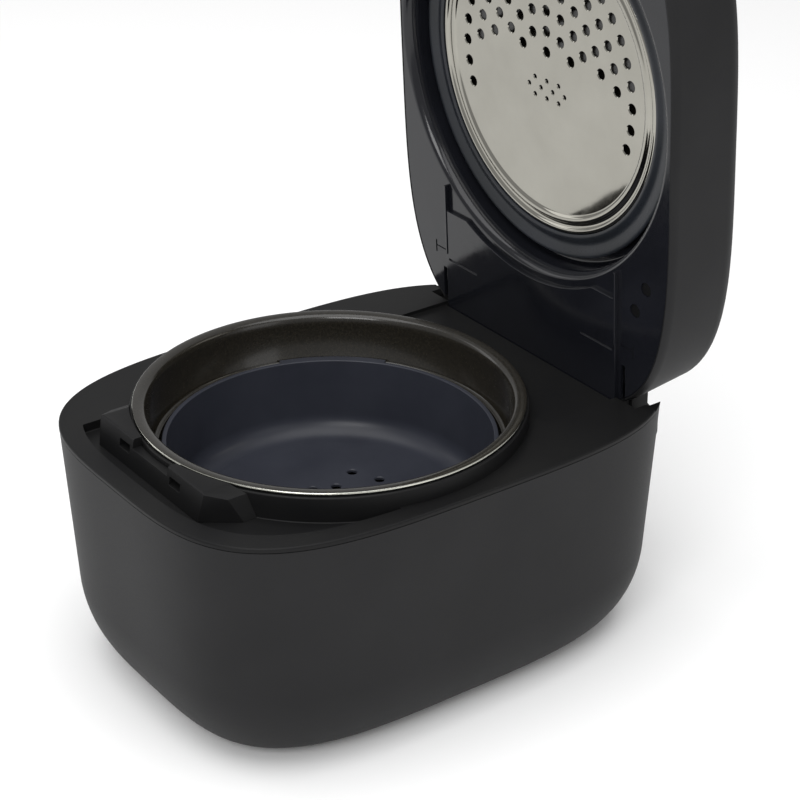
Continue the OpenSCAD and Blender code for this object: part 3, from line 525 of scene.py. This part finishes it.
def casingLevels(extra, low, high):
    steps = casing["roundSteps"]
    reach = casing["bottom"] + casing["roundHigh"] - low
    heights = [low + reach * (1 - math.cos(math.radians(90 * i / steps))) for i in range(steps + 1)]
    heights += [high - (high - heights[-1]) * i / 4 for i in (3, 2, 1, 0)]
    return [(casingInset(z) + extra, z) for z in heights]


def makeCasing():
    floor = casing["bottom"] + casing["wall"]
    wide = bodyOutline["width"]
    deep = bodyOutline["depth"]
    shell = outlineStack("casingShell", casingLevels(0, casing["bottom"], casing["top"]))
    hollow = outlineStack("hollow", casingLevels(casing["wall"], floor, casing["top"] + 4))
    rise = block("rise", (-wide, casing["skirtEnd"] - casing["wall"], -10),
                 (wide, deep, floor + casing["skirtStep"]))
    combine(hollow, rise)
    combine(shell, hollow)
    combine(shell, outlineStack("opening", [(casing["coverInset"], -5), (casing["coverInset"], 25)]))
    combine(shell, block("step", (-wide, casing["skirtEnd"], -10),
                         (wide, deep, casing["bottom"] + casing["skirtStep"])))
    half = casing["wellHalf"]
    combine(shell, block("well", (-half, casing["wellFront"], casing["wellFloor"]), (half, 260, 210)))
    left, right, low, high = casing["inlet"]
    combine(shell, block("inlet", (left, 170, low), (right, 240, high)))
    softEdges(shell, casing["edge"])
    evenShading(shell)
    return handOver(onBase(shell), "base", ["outer_casing"], charcoalAbs)


makeCasing()
print("casing done")


deck = {
    "top": 166.0,
    "band": 2.8,
    "groove": 0.6,
    "lipInset": 3.2,
    "lipLow": 157.6,
    "round": 1.2,
    "collarIn": 117.5,
    "collarOut": 123.6,
    "collarTop": 176.4,
    "moatFloor": 160.0,
    "moatEdge": 13.0,
    "moatRound": 2.6,
    "moatSide": [(-76, -36), (-76, -190), (150, -190), (150, -24), (118, -33), (96, -42), (0, -42)],
    "recessFloor": 163.0,
    "recessHalf": 88,
    "recessFront": 99.5,
    "recessBack": 156.3,     # the deck ends here behind the panel
    "wellFront": 157.4,
    "reliefFrom": 166.2,     # the rear of the deck is lower, clear of the swinging lid
    "reliefTop": 164.55,
    "edge": 0.55,
}


def arc(centre, radius, start, end, steps):
    # points of an arc in a profile, angles in degrees
    points = []
    for i in range(steps + 1):
        a = math.radians(start + (end - start) * i / steps)
        points.append((centre[0] + radius * math.cos(a), centre[1] + radius * math.sin(a)))
    return points


def makeDeck():
    low, top, r = deck["lipLow"], deck["top"], deck["round"]
    grooveLow = top - deck["band"] - deck["groove"]
    grooveHigh = top - deck["band"]
    levels = [(deck["lipInset"], low), (deck["lipInset"], grooveLow), (1.2, grooveLow), (1.2, grooveHigh),
              (0.0, grooveHigh)]
    levels += [(r * (1 - math.cos(math.radians(15 * i))), top - r + r * math.sin(math.radians(15 * i)))
               for i in range(7)]
    plate = outlineStack("deckPlate", levels)
    bead = 1.0
    collar = spunShape("collar", [(deck["collarIn"] - 4, low + 0.1), (deck["collarOut"], low + 0.1)]
                       + arc((deck["collarOut"] - bead, deck["collarTop"] - bead), bead, 0, 90, 5)
                       + [(deck["collarIn"] - 4, deck["collarTop"]), (deck["collarIn"] - 4, low + 0.1)])
    moat = outlineStack("moat", [(deck["moatEdge"], deck["moatFloor"]), (deck["moatEdge"], 190)])
    side = prism("moatSide", deck["moatSide"], 120, 220)
    combine(moat, side, "INTERSECT")
    combine(moat, spunShape("aroundCollar", [(0, 100), (deck["collarOut"] + 0.02, 100),
                                             (deck["collarOut"] + 0.02, 230), (0, 230)]))
    softEdges(moat, deck["moatRound"], segments=5)
    combine(plate, moat)
    half, wellHalf = deck["recessHalf"], casing["wellHalf"]
    recess = block("recess", (-half, deck["recessFront"], deck["recessFloor"]), (half, 162, 190))
    combine(recess, spunShape("aroundCollar", [(0, 100), (deck["collarOut"] + 0.02, 100),
                                               (deck["collarOut"] + 0.02, 230), (0, 230)]))
    softEdges(recess, 0.8)
    combine(plate, recess)
    combine(plate, collar, "UNION")
    combine(plate, spunShape("bore", [(0, 100), (deck["collarIn"], 100), (deck["collarIn"], 230), (0, 230)]))
    combine(plate, block("rearWide", (-wellHalf, deck["wellFront"], 100), (wellHalf, 260, 230)))
    combine(plate, block("rear", (-half, deck["recessBack"], 100), (half, 260, 230)))
    combine(plate, block("relief", (-140, deck["reliefFrom"], deck["reliefTop"]), (140, 260, 230)))
    softEdges(plate, deck["edge"])
    evenShading(plate)
    return handOver(onBase(plate), "base", ["top_deck"], deckAbs)


makeDeck()
print("deck done")


pot = {
    "rim": rimHeight,
    "flange": 122.0,
    "mouth": 113.6,
    "inside": 107.2,
    "wall": 2.2,
    "bottom": 51.3,
    "corner": 30.0,
    "ledge": 148.0,
    "brightEdge": 121.65,   # outside this radius the rim is bare metal
}


def makePot():
    v = pot
    rim, wall = v["rim"], v["wall"]
    base = v["inside"] + wall - v["corner"]
    floor = v["bottom"] + wall
    inner = v["corner"] - wall
    profile = [(0, v["bottom"])]
    profile += arc((base, v["bottom"] + v["corner"]), v["corner"], -90, 0, 18)
    profile += [(v["inside"] + wall, v["ledge"] - 5)]
    profile += [(v["inside"] + wall + 0.6, v["ledge"] - 3.6), (v["inside"] + wall + 2.4, v["ledge"] - 1.8),
                (v["inside"] + wall + 3.0, v["ledge"] - 0.6), (v["mouth"] + wall - 0.6, rim - 7.5),
                (v["mouth"] + wall - 0.2, rim - 4.4), (v["mouth"] + wall + 0.5, rim - 2.7),
                (v["mouth"] + wall + 1.6, rim - 2.2)]
    profile += arc((v["flange"] - 1.0, rim - 1.1), 1.0, -82, 82, 10)
    profile += [(v["flange"] - 3.4, rim - 0.15), (v["mouth"] + 3.4, rim - 0.5),
                (v["mouth"] + 1.8, rim - 0.95), (v["mouth"] + 0.7, rim - 1.9),
                (v["mouth"] + 0.1, rim - 3.4), (v["mouth"] - 0.5, rim - 7.0),
                (v["inside"] + 3.3, v["ledge"] + 1.0), (v["inside"] + 2.7, v["ledge"] + 0.25),
                (v["inside"] + 1.2, v["ledge"]), (v["inside"] + 0.3, v["ledge"] - 0.3),
                (v["inside"], v["ledge"] - 1.2)]
    profile += arc((base, floor + inner), inner, 0, -90, 18)
    profile += [(0, floor)]
    body = spunShape("innerPot", profile, steps=224)
    workOn(body)
    bpy.ops.object.shade_smooth_by_angle(angle=math.radians(50))
    body.data.materials.append(potCoating)
    body.data.materials.append(turnedAluminium)
    editing(body)
    pickFaces(body, lambda c, n: math.hypot(c.x, c.y) > v["brightEdge"])
    body.active_material_index = 1
    bpy.ops.object.material_slot_assign()
    doneEditing()
    return handOver(onBase(body), "pot", ["inner_pot"], None)


makePot()
print("pot done")


basket = {
    "rimRadius": 105.0,
    "rimDrop": 28.0,
    "floorDrop": 80.0,
    "fillet": 16.0,
    "wall": 2.0,
    "hole": 6.4,
    # radius and angle of each hole, repeated three times round
    "group": [(45.6, 102.8), (45.6, 128.7), (25.2, 139.0), (25.2, 174.5)],
    "tabs": [25, 164, 284],
    "tabSweep": 38.0,
    "tabIn": 104.4,
    "tabOut": 108.8,
}


def makeBasket():
    v = basket
    rim, floor = rimHeight - v["rimDrop"], rimHeight - v["floorDrop"]
    side = v["rimRadius"] - 3
    inner = v["fillet"] - v["wall"]
    profile = [(0, floor - v["wall"])]
    profile += arc((side - v["fillet"], floor - v["wall"] + v["fillet"]), v["fillet"], -90, 0, 14)
    profile += [(v["rimRadius"] - 2, rim - 2.4), (v["rimRadius"] - 0.4, rim - 2.4),
                (v["rimRadius"], rim - 2.0)]
    profile += arc((v["rimRadius"] - 0.7, rim - 0.7), 0.7, 0, 90, 4)
    profile += arc((v["rimRadius"] - 2.3, rim - 0.7), 0.7, 90, 180, 4)
    profile += arc((side - v["wall"] - inner, floor + inner), inner, 0, -90, 14)
    profile += [(0, floor)]
    body = spunShape("steamBasket", profile, steps=192)
    for start in v["tabs"]:
        tab = spunShape("tab", [(v["tabIn"], rim - 2.7), (v["tabOut"], rim - 2.7), (v["tabOut"], rim - 0.6),
                                (108.5, rim - 0.15), (108, rim), (v["tabIn"], rim)],
                        steps=20, sweep=v["tabSweep"], turn=start)
        combine(body, tab, "UNION")
    for turn in (0, 120, 240):
        for radius, angle in v["group"]:
            a = math.radians(turn + angle)
            hole = rod("hole", v["hole"] / 2, floor - 12, floor + 0.01,
                       radius * math.cos(a), radius * math.sin(a), sides=32)
            editing(hole)
            pickFaces(hole, lambda c, n: n.z > 0.5)
            bpy.ops.transform.translate(value=(0, 0, -0.0006))
            drawOn((0, 0, 0.7))
            bpy.ops.transform.resize(value=(1.22, 1.22, 1))
            doneEditing()
            combine(body, hole)
    workOn(body)
    bpy.ops.object.shade_smooth_by_angle(angle=math.radians(35))
    evenShading(body)
    return handOver(onBase(body), "basket", ["steam_basket"], slatePolypropylene)


makeBasket()
print("basket done")


lid = {
    "skirt": 166.6,
    "height": 60.0,
    "round": 14.0,
    "roundSteps": 12,
    "draft": 0.05,
    "wall": 2.2,
    "skirtRound": 6.5,      # the soft turn-in along the lower edge
    "skirtIn": 1.5,
    "edge": 0.5,
}
lidTop = lid["skirt"] + lid["height"]


def lidLevels(extra, low, high, edgeRound, turnIn):
    levels = []
    if turnIn:
        for i in range(7):
            part = i / 6
            levels.append((extra + lid["skirtIn"] * (1 - part) ** 2 + lid["draft"] * part * lid["skirtRound"],
                           low + part * lid["skirtRound"]))
    else:
        levels.append((extra, low))
    straight = lid["draft"] * (high - edgeRound - lid["skirt"])
    for i in range(lid["roundSteps"] + 1):
        a = math.radians(90 * i / lid["roundSteps"])
        levels.append((extra + straight + edgeRound * (1 - math.cos(a)),
                       high - edgeRound * (1 - math.sin(a))))
    return levels


def bracketSlots(piece):
    for side in (-1, 1):
        x = side * 92
        combine(piece, block("slot", (x - 2.1, hingeBack - 10, 162.6), (x + 2.1, hingeBack + 60, 188.45)))


def makeLidShell():
    v = lid
    shell = outlineStack("lidShell", lidLevels(0, v["skirt"], lidTop, v["round"], True))
    hollow = outlineStack("hollow", lidLevels(v["wall"], v["skirt"] - 3, lidTop - v["wall"] - 0.4,
                                              v["round"] - v["wall"], False))
    combine(shell, hollow)
    combine(shell, block("fascia", (-62, -118, 206), (62, -58, 240)))
    combine(shell, pill("release", 0, -129, 45, 12, 206, 240))
    combine(shell, rod("steam", 25.9, 206, 240, 0, 62, sides=96))
    bracketSlots(shell)
    softEdges(shell, v["edge"])
    evenShading(shell)
    return handOver(onLid(shell), "lid", ["lid_shell"], charcoalAbs)


makeLidShell()
print("lid shell done")


lidFrame = {
    "inset": 2.4,
    "plate": 2.4,
    "pocket": 130.0,
    "pocketIn": 125.2,
    "roundHigh": 9.0,
    "pocketFloor": 187.0,
    "bowl": 2.0,
    "hole": 96.0,
    "catchHalf": 73.4,      # the space over the catch
    "catchFront": -130.9,
    "catchBack": -97,
    "hookPitch": 29,        # the hook windows stand this far either side of the middle
    "hookHalf": 5.6,
    "catchRoof": 180.2,
    "catchWall": 1.6,
    "clip": 101.5,
    "plugRadius": 4.5,
    "edge": 0.45,
}


def makeLidFrame():
    v = lidFrame
    skirt = lid["skirt"]
    plate = outlineStack("lidInnerFrame", [(v["inset"] + 0.8, skirt), (v["inset"] + 0.25, skirt + 0.25),
                                           (v["inset"], skirt + 0.8), (v["inset"], skirt + v["plate"])])
    outer = v["pocketIn"] + v["bowl"]
    bowl = spunShape("bowl", [(0, skirt + 1), (outer, skirt + 1), (outer, v["pocketFloor"] + v["bowl"]),
                              (0, v["pocketFloor"] + v["bowl"])], steps=200)
    combine(plate, bowl, "UNION")
    for side in (-1, 1):
        combine(plate, rod("boss", 5, skirt + 1, skirt + 25, side * 107.6, 111.5, sides=40), "UNION")
    half, front, roof, wall = v["catchHalf"], v["catchFront"], v["catchRoof"], v["catchWall"]
    back = v["catchBack"]
    catchBox = block("catchBox", (-half - wall, front - wall, skirt + 1), (half + wall, back, roof + wall))
    combine(plate, catchBox, "UNION")
    combine(plate, block("catchSpace", (-half, front, skirt - 1), (half, back, roof)))
    mouth = [(0, skirt - 5), (v["pocket"] + 0.6, skirt - 5), (v["pocket"] + 0.6, skirt - 0.01),
             (v["pocket"] + 0.15, skirt + 0.02)]
    for i in range(1, 15):
        a = math.radians(90 * i / 14)
        mouth.append((v["pocketIn"] + (v["pocket"] - v["pocketIn"]) * (1 - math.sin(a)),
                      skirt + v["roundHigh"] * (1 - math.cos(a))))
    mouth += [(v["pocketIn"], v["pocketFloor"] - 2.5)]
    mouth += arc((v["pocketIn"] - 2.5, v["pocketFloor"] - 2.5), 2.5, 0, 90, 6)
    mouth += [(0, v["pocketFloor"])]
    combine(plate, spunShape("pocket", mouth, steps=200))
    combine(plate, rod("plateHole", v["hole"], 100, 300, sides=160))
    for x in (-v["hookPitch"], v["hookPitch"]):
        combine(plate, block("hookWindow", (x - v["hookHalf"], front - 3, skirt + v["plate"]),
                             (x + v["hookHalf"], front + 1, skirt + 7.9)))
    for side in (-1, 1):
        x = side * v["clip"]
        combine(plate, block("clipGroove", (x - 0.7, 145.5, skirt - 1), (x + 0.7, 154.5, skirt + 0.8)))
        combine(plate, block("stepGroove", (min(x, x - side * 13), 149, skirt - 1),
                             (max(x, x - side * 13), 150, skirt + 0.8)))
    for i in (0, 1):
        combine(plate, rod("plugSeat", v["plugRadius"], skirt - 1, skirt + 1.6,
                           112.6 - 9.8 * i, 102.5 + 18.1 * i, sides=40))
    for i in range(4):
        a = math.radians(45 + 90 * i)
        combine(plate, rod("screwHole", 1.7, v["pocketFloor"] - 1, v["pocketFloor"] + 5,
                           112 * math.cos(a), 112 * math.sin(a), sides=24))
    bracketSlots(plate)
    softEdges(plate, v["edge"], segments=3)
    evenShading(plate)
    return handOver(onLid(plate), "lid", ["lid_inner_frame"], glossAbs)


makeLidFrame()
print("lid frame done")


steelLid = {
    "radius": 103.9,
    "height": 182.2,
    "sheet": 0.8,
    "ringPitch": 13.4,
    "ringHole": 6.4,
    "ringStart": [90, 30, 30, 15, 6, -20],
    "ventHole": 2.5,
    "ventPitch": 11.5,
    "ventRow": 5.8,
    "ventBack": 11.5,
    "dish": 0.5,            # how far the sheet is drawn in round each hole
}


def makeSteelLid():
    v = steelLid
    z = v["height"]
    rib = [(91.5, 0), (92.2, -0.15), (92.8, -0.6), (93.5, -1.15), (94.4, -1.45), (95.6, -1.5), (96.5, -1.35),
           (97.1, -0.95), (97.7, -0.65), (98.5, -0.55), (99.4, -0.62), (100, -0.85), (100.5, -1.35)]
    roll = [(101.0, -1.75), (101.8, -1.95), (102.7, -1.85), (103.4, -1.4), (103.9, -0.6), (103.9, 2.0),
            (102, 2.0)]
    profile = [(0, z)] + [(r, z + up) for r, up in rib + roll]
    profile += [(100.6, z + v["sheet"]), (0, z + v["sheet"])]
    plate = spunShape("steelInnerLid", profile, steps=224)
    places = []
    for k, start in enumerate(v["ringStart"], 1):
        a = start
        while a <= 180.1 - start:
            turn = math.radians(-a)
            places.append((k * v["ringPitch"] * math.cos(turn), k * v["ringPitch"] * math.sin(turn),
                           v["ringHole"] / 2, 32))
            a += 60 / k
    for row in (-1, 0, 1):
        number = 4 if row == 0 else 3
        for i in range(number):
            places.append(((i - (number - 1) / 2) * v["ventPitch"], v["ventBack"] + row * v["ventRow"],
                           v["ventHole"] / 2, 20))
    for x, y, radius, sides in places:
        punch = rod("punch", radius, z - 0.01, z + 10, x, y, sides=sides)
        editing(punch)
        pickFaces(punch, lambda c, n: n.z < -0.5)
        bpy.ops.transform.translate(value=(0, 0, v["dish"] / 1000))
        drawOn((0, 0, -v["dish"] - 0.02))
        wider = (radius + v["dish"] * 1.2) / radius
        bpy.ops.transform.resize(value=(wider, wider, 1))
        doneEditing()
        combine(plate, punch)
    workOn(plate)
    bpy.ops.object.shade_smooth_by_angle(angle=math.radians(38))
    evenShading(plate)
    return handOver(onLid(plate), "inner_lid", ["inner_lid_plate"], mirrorSteel)


gasket = {
    "low": rimHeight + 0.4,
    "radius": 119.5,
    "inside": 104.0,
}


def makeGasket():
    low, out, inside = gasket["low"], gasket["radius"], gasket["inside"]
    profile = [(inside, low + 0.8), (105.2, low + 0.45), (106.5, low + 0.4), (107.8, low + 0.75),
               (109, low + 1.25), (110.2, low + 1.4), (111.8, low + 1.25), (113.6, low + 0.85),
               (115.4, low + 0.5), (117.2, low + 0.15), (out - 0.9, low), (out - 0.3, low + 0.15),
               (out, low + 0.5), (out, low + 1.2), (out - 0.4, low + 1.6), (117.6, low + 2.0),
               (116, low + 2.6), (114.6, low + 3.6), (113.6, low + 4.8), (113, low + 5.4),
               (inside, low + 5.4), (inside, low + 0.8)]
    ring = spunShape("lidGasket", profile, steps=200)
    workOn(ring)
    bpy.ops.object.shade_smooth_by_angle(angle=math.radians(42))
    return handOver(onLid(ring), "inner_lid", ["inner_lid_gasket"], slateSilicone)


makeSteelLid()
makeGasket()
print("steel lid and gasket done")


button = {
    "width": 13.6,
    "high": 5.0,
    "proud": 0.8,
    "places": {"button_menu": (-45, -104), "button_hour": (-15, -104), "button_minute": (15, -104),
               "button_warm": (45, -104), "button_timer": (-47, -76), "button_start": (47, -76)},
}


def makeButtons():
    v = button
    top = lidTop + v["proud"]
    radius = v["width"] / 2
    model = spunShape("buttonModel", [(0, top - v["high"]), (radius, top - v["high"]), (radius, top - 0.6)]
                      + arc((radius - 0.6, top - 0.6), 0.6, 0, 90, 5)
                      + [(radius - 1.6, top - 0.02), (radius - 2.4, top - 0.22), (2.4, top - 0.42),
                         (0, top - 0.45)],
                      steps=64)
    workOn(model)
    bpy.ops.object.shade_smooth_by_angle(angle=math.radians(35))
    for node, (x, y) in v["places"].items():
        copy = model.copy()
        copy.data = model.data.copy()
        copy.name = "key_" + node.split("_")[1]
        bpy.context.scene.collection.objects.link(copy)
        workOn(copy)
        copy.location = (x / 1000, y / 1000, 0)
        bpy.ops.object.transform_apply(location=True, rotation=True, scale=True)
        handOver(onLid(copy), bodyOf[node], [node], glossAbs)
    bpy.data.objects.remove(model)


makeButtons()
print("buttons done")


softParts = {
    # node: (piece name, edge in mm)
    "latch_catch": ("latchCatch", 0.5),
    "hinge_well": ("hingeWell", 0.5),
    "bottom_cover": ("bottomCover", 0.4),
    "feet": ("footPads", 0.4),
    "hinge_brackets": ("hingeBrackets", 0.25),
    "hinge_panel": ("hingePanel", 0.35),
    "hinge_barrel_left": ("hingeBarrelLeft", 0.4),
    "hinge_barrel_right": ("hingeBarrelRight", 0.4),
    "frame_plugs": ("framePlugs", 0.25),
    "inlet_socket": ("inletSocket", 0.4),
    "inlet_pins": ("inletPins", 0.2),
    "control_fascia": ("controlFascia", 0.3),
    "display_window": ("displayWindow", 0.2),
    "release_button": ("releaseButton", 0.4),
    "steam_cup": ("steamCup", 0.35),
    "steam_cap": ("steamCap", 0.4),
    "latch_bar": ("latchBar", 0.2),
    "power_transformer": ("powerTransformer", 0.5),
    "power_relay": ("powerRelay", 0.4),
    "power_capacitors": ("powerCapacitors", 0.6),
}


def makeSoftParts():
    for node, (name, edge) in softParts.items():
        piece = mergedCopy(node, name)
        softEdges(piece, edge, segments=3)
        evenShading(piece)
        handOver(piece, bodyOf[node], [node], finishes[slotOf[node]])


makeSoftParts()
print("smaller parts done")

# The remaining imported parts take their slot's finish. The lid heater plate behind the steel lid takes the dark
# pot coating as painted shade, so the holes read dark.
for name, node in nodes.items():
    for slot in node.material_slots:
        slot.material = finishes[slotOf[name]]


studio = {
    "azimuth": 54.187,
    "elevation": 27.703,
    "distance": 1.3282,
    "lens": 101.5,
    "aim": (0.07409, 0.0, 0.0275),   # from the middle of the pot's rim
    "floor": "#ffffff",
    "sky": "#ffffff",
    "skyStrength": 0.51,
    # place and size in metres, power in watts
    "lights": [
        ("boxAbove", (0.2, -0.2, 2.4), (2.4, 2.4), 43),
        ("boxLeft", (-1.9, -1.1, 1.2), (0.7, 1.8), 5),
        ("boxRight", (2.3, 0.4, 1.0), (1.0, 1.6), 4),
        ("boxFront", (1.5, -1.8, 1.9), (1.4, 1.0), 27),
    ],
    "lightsAim": (0, 0, 0.2),
}


def aimAt(thing, target):
    thing.rotation_euler = (Vector(target) - thing.location).to_track_quat("-Z", "Y").to_euler()


def softbox(name, place, target, size, watts):
    deselectAll()
    bpy.ops.object.light_add(type="AREA", location=place)
    lamp = bpy.context.object
    lamp.name = name
    lamp.data.shape = "RECTANGLE"
    lamp.data.size, lamp.data.size_y = size
    lamp.data.energy = watts
    aimAt(lamp, target)
    return lamp


def makeStudio():
    v = studio
    middle = Vector((0, potAxis, rimHeight / 1000)) + Vector(v["aim"])
    a, e = math.radians(v["azimuth"]), math.radians(v["elevation"])
    away = Vector((math.sin(a) * math.cos(e), -math.cos(a) * math.cos(e), math.sin(e)))
    deselectAll()
    bpy.ops.object.camera_add(location=middle + away * v["distance"])
    camera = bpy.context.object
    camera.name = "camera"
    camera.data.lens = v["lens"]
    camera.data.sensor_width = 36
    camera.data.clip_start = 0.01
    aimAt(camera, middle)
    bpy.context.scene.camera = camera

    deselectAll()
    bpy.ops.mesh.primitive_plane_add(size=12, location=(0, 0, 0))
    floor = bpy.context.object
    floor.name = "floor"
    paper, shader = newMaterial("paper_seamless_white", {"Roughness": 0.9})
    shader.inputs["Base Color"].default_value = linear(v["floor"])
    floor.data.materials.append(paper)

    world = bpy.data.worlds.new("studio")
    bpy.context.scene.world = world
    world.use_nodes = True
    sky = world.node_tree.nodes["Background"]
    sky.inputs["Color"].default_value = linear(v["sky"])
    sky.inputs["Strength"].default_value = v["skyStrength"]

    for name, place, size, watts in v["lights"]:
        softbox(name, place, v["lightsAim"], size, watts)
    bpy.context.scene.view_settings.view_transform = "Standard"


makeStudio()
print("studio done")
